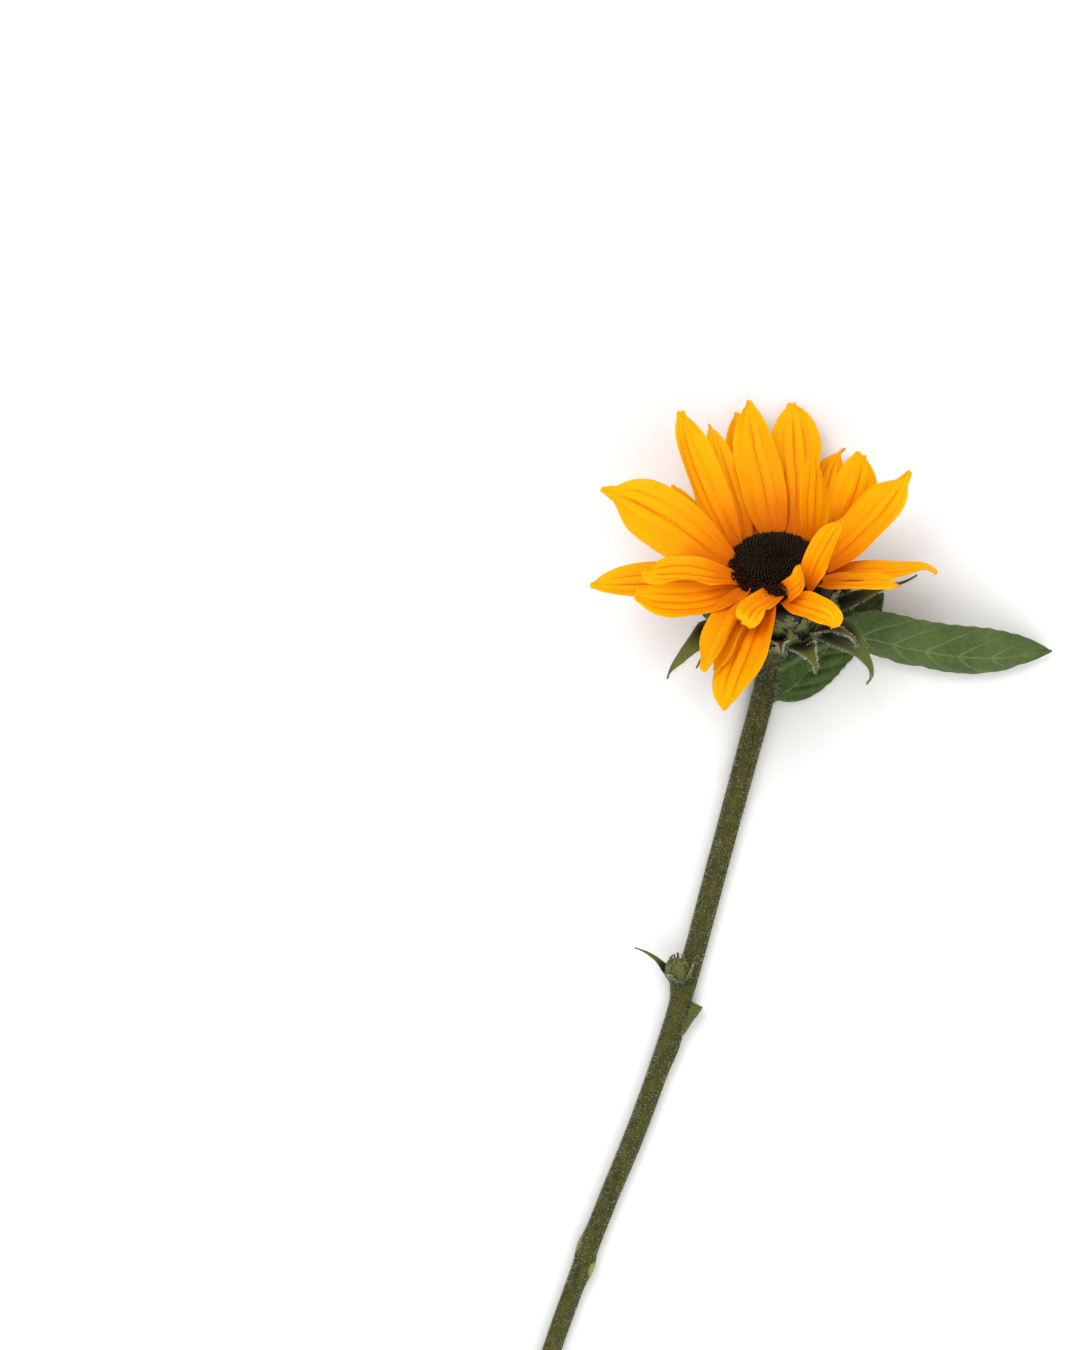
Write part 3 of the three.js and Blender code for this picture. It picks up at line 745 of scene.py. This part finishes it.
def build_bracts():
    roots = {"inner": (INNER_BRACTS, BOWL_RADIUS + 1, BOWL_WIDEST + 1, 1.6),
             "outer": (OUTER_BRACTS, BOWL_RADIUS + 0.2, BOWL_WIDEST + 5, 2.4)}
    for row_name, (rows_list, root, drop, tuck) in roots.items():
        for index, row in enumerate(rows_list):
            node = f"{row_name}_bract_{index + 1:02d}"
            ray = {**PLAIN_BRACT, **dict(zip(BRACT_KEYS, row), width=10, cup=24, root=root, drop=drop)}
            ray["length"] *= 1.1                       # room for the drawn-out point
            ray.update(BRACT_EXTRAS.get(node, {}))
            shape = Shape()
            add_bract(shape, ray, tuck, 38, 13, 260, 1.2, dry=ray.get("dry", 0.0))
            shape.build(f"bract_{row_name}_{index + 1:02d}", BRACT, "bract", node)


# ---- Receptacle: green bowl with ribs and low pressed scales ----
def bowl_profile():
    """Radius and height of the bowl, from the collar up to the disc."""
    def height(k):
        return -BOWL_DEPTH - (BOWL_WIDEST - BOWL_DEPTH) * k

    return np.array([
        (COLLAR_RADIUS + 0.2, -BOWL_DEPTH - 0.3), (BOWL_RADIUS * 0.40, height(0.10)),
        (BOWL_RADIUS * 0.56, height(0.27)), (BOWL_RADIUS * 0.87, height(0.64)),
        (BOWL_RADIUS * 0.97, -BOWL_WIDEST), (BOWL_RADIUS * 0.98, -BOWL_TOP - 4),
        (BOWL_RADIUS * 0.92, -BOWL_TOP),
    ])


# Rows of pressed scales on the bowl: depth and radius of the roots, rise, length, number.
BOWL_SCALES = [(27, 11.5, 34, 12, 9), (24, 17, 50, 12, 11), (20, 20.4, 76, 11, 13), (14, 21, 90, 7.5, 15),
               (11.5, 20.8, 88, 6, 15)]


def build_receptacle():
    profile, _, _ = curve_through([(r, 0, z) for r, z in bowl_profile()], 40)
    corners = 96
    angle = circle(corners)
    depth = profile[:, 2][:, None]
    rib = 0.25 * np.cos(angle * 13)[None] * smooth(-BOWL_TOP, -BOWL_WIDEST, depth)
    lump = wobble(np.cos(angle) * 1.5, np.sin(angle) * 1.5, 5)[None] * 0.4
    radius = profile[:, 0][:, None] + rib + lump * smooth(-BOWL_DEPTH, -20, depth)
    ring = turned_rings(radius, depth, angle)
    top = ring[-1] * np.array([0.8, 0.8, 1.0])
    ring = np.concatenate([ring[:, ::-1], top[None, ::-1]])
    shape = Shape()
    # along 0 gives the bowl the bracts' root colour: its near-black streaks are painted shade under the
    # head.
    shape.add(head_to_row(ring.reshape(-1, 3)), tube_faces(len(ring), corners), along=0.0, tint=3.0,
              across=np.tile(np.sin(angle * 13) * 0.5, len(ring)))
    for row, (drop, root, rise, length, count) in enumerate(BOWL_SCALES):
        for k in range(count):
            scale = dict(at=(k + row * 0.5) * 360 / count + rng.uniform(-4, 4), root=root, drop=drop,
                         length=length, width=9.5, rise=rise, bend=rng.uniform(4, 22),
                         sway=rng.uniform(-10, 10))
            add_bract(shape, {**PLAIN_BRACT, **scale}, 0.4, 16, 9, 60, 1.3)
    shape.build("receptacle_bowl", BRACT, "bract", "receptacle")


# ---- Disc: spiral of closed florets inside a ring of open ones ----
def dome_height(r):
    k = np.clip(r / DISC_RADIUS, 0, 1)
    return DISC_DOME * (0.72 + 0.28 * smooth(0, 0.5, k)) * (1 - smooth(0.62, 1.08, k) * 0.9)


def floret_profile(shape, base, direction, twist, profile, corners):
    side = unit(np.cross(direction, [0.2, 0.9, 0.4]))
    other = np.cross(direction, side)
    angle = circle(corners) + twist
    rings = [base + direction * h + r * (np.cos(angle)[:, None] * side + np.sin(angle)[:, None] * other)
             for r, h in profile]
    along = np.repeat(np.linspace(0, 1, len(profile)), corners)
    shape.add(np.concatenate(rings), flipped(tube_faces(len(profile), corners)), along=along)


FLORETS = 760
SPIRAL_STEP = math.radians(137.508)
OPEN_FROM = 0.76                    # florets are open outside this share of the radius


def build_disc():
    closed, opened, stigmas = Shape(), Shape(), Shape()
    base_profile = [(DISC_RADIUS - 0.8, -BOWL_TOP + GAP), (DISC_RADIUS - 0.4, -1.0),
                    (DISC_RADIUS * 0.97, -0.4)]
    base_profile += [(r, dome_height(r) - 1.6) for r in DISC_RADIUS * np.linspace(0.93, 0.04, 14)]
    corners = 48
    angle = circle(corners)
    rings = [np.stack([r * np.cos(angle), r * np.sin(angle), z + 0 * angle], axis=1)
             for r, z in base_profile]
    closed.add(head_to_row(np.concatenate(rings)), tube_faces(len(rings), corners), along=0.05)
    for i in range(FLORETS):
        r = (DISC_RADIUS - 0.5) * math.sqrt((i + 0.5) / FLORETS)
        turn = i * SPIRAL_STEP
        outward = np.array([math.cos(turn), math.sin(turn), 0.0])
        k = r / DISC_RADIUS
        base = head_to_row(outward * r + np.array([0, 0, dome_height(r) - 1.7]))
        if k < OPEN_FROM:
            add_closed_floret(closed, base, outward, k, turn)
        else:
            lean = outward * (0.1 + 0.7 * k ** 3) + rng.normal(0, 0.16, 3)
            tip = unit((lean + np.array([0, 0, 1.0])) @ HEAD_AXES)
            add_open_floret(opened, stigmas, base, tip, rng.uniform(1.3, 2.2), turn)
    opened.build("florets_open", FLORET_OPEN, "floret")
    stigmas.build("floret_stigmas", FLORET_STIGMA, "floret")
    closed.build("florets_closed", FLORET_CLOSED, "floret", "disc_florets")


def add_closed_floret(shape, base, outward, k, turn):
    """A dark closed bud with two bristles that lie away from the middle of the disc."""
    tip = unit((outward * (0.5 * k - 0.1) + np.array([0, 0, 1.0]) + rng.normal(0, 0.05, 3)) @ HEAD_AXES)
    size, tall = 0.34 + 0.22 * k, 1.9 + 0.5 * k + rng.normal(0, 0.12)
    profile = [(size * 0.7, 0), (size, tall * 0.5), (size * 0.8, tall * 0.8), (0.04, tall * 1.1)]
    floret_profile(shape, base, tip, turn, profile, 6)
    for _ in range(2):
        lie = outward * rng.uniform(0.6, 1.5) + np.array([0, 0, 1.0]) + rng.normal(0, 0.14, 3)
        long = tall + rng.uniform(0.4, 1.5) * (1.2 - k)
        bristle = [(0.15, tall * 0.3), (0.13, tall * 0.9), (0.02, long)]
        floret_profile(shape, base + rng.normal(0, 0.25, 3), unit(lie @ HEAD_AXES), turn, bristle, 4)


def add_open_floret(shape, stigmas, base, tip, tall, turn):
    """A short tube that ends in five spreading lobes, most with a forked curling stigma."""
    profile = [(0.30, 0), (0.28, tall * 0.6), (0.42, tall * 0.88), (0.10, tall * 0.8)]
    floret_profile(shape, base, tip, turn, profile, 6)
    side = unit(np.cross(tip, [0.2, 0.9, 0.4]))
    other = np.cross(tip, side)
    for lobe in range(5):
        a = turn + lobe * 2 * math.pi / 5
        heading = side * math.cos(a) + other * math.sin(a)
        root = base + tip * tall * 0.8 + heading * 0.26
        lobe_profile = [(0.17, 0), (0.13, 0.3), (0.02, 0.75)]
        floret_profile(shape, root, unit(tip * 0.45 + heading * 0.9), a, lobe_profile, 4)
    if rng.random() < 0.75:
        add_stigma(stigmas, base + tip * tall * 0.6, tip, turn + rng.uniform(-1, 1))


def add_stigma(shape, place, tip, turn):
    side = unit(np.cross(tip, [0.2, 0.9, 0.4]))
    other = np.cross(tip, side)
    bend = np.linspace(0, 1, 8)
    for sign in (-1, 1):
        heading = sign * (side * math.cos(turn) + other * math.sin(turn))
        curl = bend * rng.uniform(3.0, 4.6)
        reach = rng.uniform(0.45, 0.7)
        line = place + np.outer(0.9 * bend, tip) + np.outer((1 - np.cos(curl)) * reach * 0.6, heading) \
            + np.outer(np.sin(curl) * reach, tip)
        ring = tube(line, np.linspace(0.10, 0.05, 8), 5)
        shape.add(ring.reshape(-1, 3), flipped(tube_faces(8, 5)), along=np.repeat(bend, 5))


# ---- Stem ----
def stem_radius(distance):
    flare = np.maximum(0, 1 - distance / NECK_LENGTH) ** 1.5
    slim = NECK_RADIUS + (TIP_RADIUS - NECK_RADIUS) * distance / STEM_REACH
    return slim + (COLLAR_RADIUS - slim) * flare


collar = head_to_row([0, 0, -BOWL_DEPTH - GAP + 0.6]) - FLOOR_ORIGIN
neck = head_to_row([0, 0, -BOWL_DEPTH - 4]) - FLOOR_ORIGIN
stem_points = [collar, neck] + [np.array([x, y, float(stem_radius(-y - 22))]) for x, y in STEM_ROUTE]
stem_line, stem_along, stem_length = curve_through(stem_points, 420)

# Swollen places: Y, angle round the stem, height, half length, paleness.
SWELLINGS = [(-142, 172, 2.3, 5, 0.25), (-164, 20, 0.9, 7, 0.1), (-237.5, 165, 1.0, 4.5, 0.55),
             (-243.7, 25, 1.1, 4, 1.0)]
STEM_HAIRS = 14000
CUT_RINGS = (0.93, 0.8, 0.55, 0.25)     # rings of the slightly dished cut, as shares of its radius


def on_stem(y, angle, height):
    index = int(np.argmin(np.abs(stem_line[:, 1] - y)))
    reach = stem_radius(stem_length * index / (len(stem_line) - 1)) + height
    a = math.radians(angle)
    return stem_line[index] + np.array([math.cos(a), 0, math.sin(a)]) * reach


def build_stem():
    corners = 40
    distance = np.linspace(0, stem_length, len(stem_line))
    side = unit(np.stack([stem_along[:, 1], -stem_along[:, 0], 0 * stem_along[:, 0]], axis=1))
    up = np.cross(side, stem_along)
    d, a = np.meshgrid(distance, circle(corners), indexing="ij")
    radius = stem_radius(d) + 0.10 * np.cos(11 * a) + 0.05 * np.cos(17 * a + d * 0.01)
    radius = radius + wobble(d / 30, a / 3, 8) * 0.16 - 0.12
    pale = np.zeros_like(d)
    for y, around, height, spread, paleness in SWELLINGS:
        place = distance[int(np.argmin(np.abs(stem_line[:, 1] - y)))]
        turn = (a + math.radians(around)) % (2 * math.pi) - math.pi    # a runs the other way round
        lump = np.exp(-((d - place) / spread) ** 2 - (turn / 0.75) ** 2)
        radius = radius + height * lump
        pale = np.maximum(pale, paleness * smooth(0.45, 0.9, lump))
    slant = smooth(stem_length - 6, stem_length, d) * math.tan(CUT_SLANT)
    ring = np.cos(a)[..., None] * side[:, None] + np.sin(a)[..., None] * up[:, None]
    points = stem_line[:, None] + radius[..., None] * ring
    points = points - stem_along[:, None] * (slant * radius * np.sin(a))[..., None]
    points[..., 2] = np.maximum(points[..., 2], 0.02)
    rings = [points.reshape(-1, 3)]
    ends = [np.zeros(points.shape[0] * corners)]
    centre = points[-1].mean(axis=0)
    for k in CUT_RINGS:
        rings.append(centre + (points[-1] - centre) * k - stem_along[-1] * 0.25 * (1 - k))
        ends.append(np.full(corners, k))
    shape = Shape()
    count = len(stem_line) + len(CUT_RINGS)
    pales = np.concatenate([pale.ravel(), np.zeros(len(CUT_RINGS) * corners)])
    shape.add(table_to_row(np.concatenate(rings)), flipped(tube_faces(count, corners)),
              end=np.concatenate(ends), pale=pales, **down_and_round(count, corners))
    shape.build("stem_skin", STEM, "stem", "stem")
    grow_stem_hairs(points, distance)


def grow_stem_hairs(points, distance):
    """Down all over the stem, longer near the head."""
    i = rng.integers(2, len(stem_line) - 8, STEM_HAIRS)
    j = rng.integers(0, points.shape[1], STEM_HAIRS)
    roots = points[i, j]
    out = unit(roots - stem_line[i])
    lean = stem_along[i] * rng.uniform(-0.2, 0.5, (STEM_HAIRS, 1)) + rng.normal(0, 0.22, (STEM_HAIRS, 3))
    keep = roots[:, 2] + (out + lean)[:, 2] > 0.15
    lengths = rng.uniform(0.5, 1.3, STEM_HAIRS) * (1 + np.exp(-distance[i] / 45))
    stem_hairs.grow(table_to_row(roots[keep] - out[keep] * 0.05), (out + lean)[keep], lengths[keep], 0.045)


# ---- Leaves ----
STALK = 1.5
LEAF_CLEARANCE = 0.25               # least height of a blade's middle surface over the table
SIDE_VEINS = 7
LEAVES = {
    "leaf_right": dict(
        midrib=[on_stem(-33, 35, -1), (23, -20.5, 9), (34, -14, 12), (51, -12.5, 13.5),
                (68, -10, 13), (82, -6, 10), (98, 1.4, 3.5)],
        stalk=0.2, fullest=0.35, left=14, right=15, left_cup=10, right_cup=-70, roll=35),
    "leaf_behind_stem": dict(
        midrib=[on_stem(-44, 10, -2), (19.5, -35, 2.5), (26, -20, 1.4), (33, -7, 1.4), (38, 3, 2)],
        stalk=0.05, fullest=0.45, left=11, right=8.5, left_cup=8, right_cup=6, roll=0),
    "leaf_behind_head": dict(
        midrib=[on_stem(-30, 190, -1), (-4, -27, 2.6), (-17, -8, 1.2), (-20, 16, 1), (-15.5, 43, 1)],
        stalk=0.15, fullest=0.4, left=12, right=11, left_cup=5, right_cup=5, roll=0),
}


def upward_normals(grid, up):
    normal = surface_normals(grid)
    return np.where((normal * up[:, None]).sum(-1, keepdims=True) < 0, -normal, normal)


def leaf_relief(blade, v, width):
    """Side veins, midrib and height of the relief: the blade swells a little between the veins."""
    sweep = blade - 0.17 * np.abs(v) - 0.06 * v ** 2          # the veins run forwards from the midrib
    beat = sweep * SIDE_VEINS
    nearest = np.abs(beat - np.round(beat)) / SIDE_VEINS
    thin = 0.010 * (1.15 - 0.7 * np.abs(v))
    lateral = np.exp(-(nearest / thin) ** 2) * smooth(0.02, 0.12, blade) * smooth(-0.02, 0.06, sweep)
    lateral = lateral * smooth(1.0, 0.85, np.abs(v))
    midrib = np.exp(-(v * width / 0.55) ** 2) * smooth(0.0, 0.1, blade)
    swell = 0.5 * (1 - np.cos(2 * math.pi * beat)) * (1 - np.abs(v) ** 4) * np.minimum(1, np.abs(v) * 4)
    wave = np.sin(blade * 9 + v * 2) * np.abs(v) ** 3 * 0.7 + wobble(blade * 2, v, 21) * 0.5
    relief = (swell * 0.55 - lateral * 0.25 - midrib * 0.35 + wave) * smooth(0.05, 0.25, blade)
    return lateral, midrib, relief


def build_leaf(name, leaf):
    rows, columns = 120, 49
    line, along, _ = curve_through(leaf["midrib"], rows)
    level = unit(np.stack([along[:, 1], -along[:, 0], 0 * along[:, 0]], axis=1))
    rise = np.cross(level, along)
    roll = math.radians(leaf["roll"])
    side = level * math.cos(roll) - rise * math.sin(roll)
    up = rise * math.cos(roll) + level * math.sin(roll)
    blade = np.clip((np.linspace(0, 1, rows) - leaf["stalk"]) / (1 - leaf["stalk"]), 0, 1)
    blade, v = np.meshgrid(blade, np.linspace(-1, 1, columns), indexing="ij")
    spread = np.where(blade > 0, outline(blade, 0.0, leaf["fullest"], 0.02, 0.6), 0)
    flat = np.minimum(1, blade * 5)
    size = np.where(v < 0, leaf["left"], leaf["right"])
    serrate = 1 - 0.03 * (0.5 + 0.5 * np.cos(blade * 2 * math.pi * 14)) * smooth(0.15, 0.3, blade)
    width = np.maximum(STALK * (1 - 0.75 * blade), size * spread * serrate)
    cup = np.radians(np.where(v < 0, leaf["left_cup"], leaf["right_cup"])) * flat
    cup = np.where(np.abs(cup) < 1e-3, 1e-3, cup)
    bow = width / cup
    angle = np.abs(v) * cup
    out = np.sign(v) * bow * np.sin(angle)
    lift = bow * (1 - np.cos(angle))
    grid = line[:, None] + side[:, None] * out[..., None] + up[:, None] * lift[..., None]
    lateral, midrib, relief = leaf_relief(blade, v, width)
    grid = grid + upward_normals(grid, up) * relief[..., None]
    grid[..., 2] = np.maximum(grid[..., 2], LEAF_CLEARANCE)
    normal = upward_normals(grid, up)
    stalk_thick = STALK * 1.7 * np.sqrt(np.maximum(0.02, 1 - v ** 2))
    rib = np.exp(-(v * width / 0.9) ** 2) * (1 - blade)
    blade_thick = 0.45 - 0.25 * v ** 2 + 1.1 * rib
    points = sheet_points(grid, normal, stalk_thick * (1 - flat) + blade_thick * flat)
    points[:, 2] = np.maximum(points[:, 2], 0.03)
    shape = Shape()
    shape.add(table_to_row(points), flipped(sheet_faces(rows, columns)), along=both_sides(blade),
              across=both_sides(v), vein=both_sides(np.maximum(lateral, midrib)), back=back_side(grid))
    shape.build(f"{name}_blade", LEAF, "leaf", name)
    margin_hairs(leaf_hairs, grid, normal, 420, 0.7, table_to_row)


# ---- Side bud and stub ----
BUD_PLACE = -143
BUD_RADIUS = 4.2
BUD_LENGTH = 11
BUD_TILT = (math.radians(-45), math.radians(-14))


def bud_to_row(points):
    turn = Matrix.Rotation(BUD_TILT[0], 3, "X") @ Matrix.Rotation(BUD_TILT[1], 3, "Y")
    return table_to_row(on_stem(BUD_PLACE, 140, GAP) + np.asarray(points) @ np.array(turn.transposed()))


def build_bud():
    profile = [(0.9, -0.9), (1.3, 0.4), (1.8, 2.0), (BUD_RADIUS * 0.85, 3.4), (BUD_RADIUS, 5.8),
               (BUD_RADIUS * 0.8, 8.5), (BUD_RADIUS * 0.35, BUD_LENGTH), (0.3, BUD_LENGTH + 0.5)]
    line, _, _ = curve_through([(r, 0, z) for r, z in profile], 24)
    corners = 36
    angle = circle(corners)
    radius = line[:, 0][:, None] * (1 + 0.05 * np.cos(9 * angle)[None])
    ring = turned_rings(radius, line[:, 2][:, None], angle)
    shape = Shape()
    shape.add(bud_to_row(ring[:, ::-1].reshape(-1, 3)), tube_faces(len(line), corners), tint=1.0,
              along=np.repeat(np.linspace(0, 0.6, len(line)), corners),
              across=np.tile(np.sin(angle * 9), len(line)))
    for k in range(12):
        high = 1 - k % 2
        scale = dict(at=k * 30 + rng.uniform(-7, 7), root=BUD_RADIUS * (0.82 - 0.2 * high),
                     drop=-2.2 - 1.2 * high, length=8.5 + rng.uniform(0, 2), width=4.4, rise=78,
                     bend=34 + rng.uniform(-6, 14), cup=40)
        add_bract(shape, {**PLAIN_BRACT, **scale}, 0.5, 16, 9, 40, 0.8, bud_to_row, dry=0.3 * rng.random())
    shape.build("bud_body", BRACT, "bract", "side_bud")
    for index, (at, length, bend) in enumerate(((105, 11, -14), (190, 12, -40), (275, 16, -85))):
        scale = dict(at=at, root=BUD_RADIUS + 0.4, drop=-2.4, length=length, width=4.6, rise=88, bend=bend,
                     cup=40)
        shape = Shape()
        add_bract(shape, {**PLAIN_BRACT, **scale}, 1.8, 24, 11, 90, 0.8, bud_to_row)
        shape.build(f"bud_scale_{index + 1:02d}", BRACT, "bract", f"bud_bract_{index + 1:02d}")


STUB_HAIRS = 160


def build_stub():
    rings, corners = 20, 20
    route = [on_stem(-161, 20, -0.8), on_stem(-154.5, 20, 1.0), on_stem(-148, 20, 2.3)]
    line, _, _ = curve_through(route, rings)
    t = np.linspace(0, 1, rings)
    ring = tube(line, 1.0 + 1.0 * t + 0.15 * np.sin(t * 9), corners)
    ring = ring + unit(ring - line[:, None]) * (0.10 * np.cos(np.arange(corners) * 5))[None, :, None]
    cap = ring[-1].mean(axis=0)
    inner = [cap + (ring[-1] - cap) * k - unit(line[-1] - line[-2]) * 0.3 * (1 - k) for k in (0.8, 0.4)]
    points = np.concatenate([ring.reshape(-1, 3)] + inner)
    ends = np.repeat([0.0] * rings + [0.8, 0.4], corners)
    count = rings + len(inner)
    shape = Shape()
    shape.add(table_to_row(points), flipped(tube_faces(count, corners)), end=ends, pale=0.25,
              **down_and_round(count, corners))
    shape.build("stub_skin", STEM, "stem", "leaf_stub")
    i, j = rng.integers(1, rings - 1, STUB_HAIRS), rng.integers(0, corners, STUB_HAIRS)
    out = unit(ring[i, j] - line[i]) + rng.normal(0, 0.25, (STUB_HAIRS, 3))
    stem_hairs.grow(table_to_row(ring[i, j]), out, rng.uniform(0.5, 1.1, STUB_HAIRS))


# ---- Stage ----
def build_camera():
    """Straight down, with the head's heading up the picture."""
    distance, tall = 2200.0, 450.0
    disc_right, disc_above = 78.8, 36.3          # disc centre from the middle of the picture
    aim = DISC_CENTRE - turned(disc_right, disc_above, 0)
    data = bpy.data.cameras.new("camera")
    data.sensor_width = 36.0
    data.lens = data.sensor_width * distance / tall
    data.clip_start, data.clip_end = 0.05, 20
    camera = bpy.data.objects.new("camera", data)
    bpy.context.scene.collection.objects.link(camera)
    camera.location = Vector((aim + np.array([0, 0, distance])) * MM)
    camera.rotation_euler = (0, 0, FACE_TURN)
    bpy.context.scene.camera = camera


def build_floor():
    mesh = bpy.data.meshes.new("floor")
    half = 3.0
    corners = [(-half, -half, 0), (half, -half, 0), (half, half, 0), (-half, half, 0)]
    mesh.from_pydata(corners, [], [(0, 1, 2, 3)])
    mesh.materials.append(floor_material())
    floor = bpy.data.objects.new("floor", mesh)
    bpy.context.scene.collection.objects.link(floor)


def add_light(name, location, size, watts, aim):
    data = bpy.data.lights.new(name, "AREA")
    data.shape, data.size, data.energy = "SQUARE", size, watts
    light = bpy.data.objects.new(name, data)
    light.location = location
    light.rotation_euler = (Vector(aim) - Vector(location)).to_track_quat("-Z", "Y").to_euler()
    bpy.context.scene.collection.objects.link(light)


def build_light():
    world = bpy.data.worlds.new("studio")
    world.use_nodes = True
    background = world.node_tree.nodes["Background"]
    background.inputs["Color"].default_value = (1.0, 1.0, 1.0, 1.0)
    background.inputs["Strength"].default_value = 0.74
    bpy.context.scene.world = world
    aim = DISC_CENTRE * MM
    add_light("key", aim + turned(-0.5, 0.7, 1.5), 0.9, 13, aim)
    add_light("fill", aim + turned(0.4, -1.1, 1.2), 1.4, 10, aim)
    bpy.context.scene.view_settings.view_transform = "Standard"


build_petals()
build_bracts()
build_receptacle()
build_disc()
build_stem()
for leaf_name, leaf in LEAVES.items():
    build_leaf(leaf_name, leaf)
build_bud()
build_stub()
stem_hairs.shape.build("stem_hairs", HAIR, "stem")
bract_hairs.shape.build("bract_hairs", HAIR, "bract")
leaf_hairs.shape.build("leaf_hairs", HAIR, "leaf")
build_floor()
build_camera()
build_light()
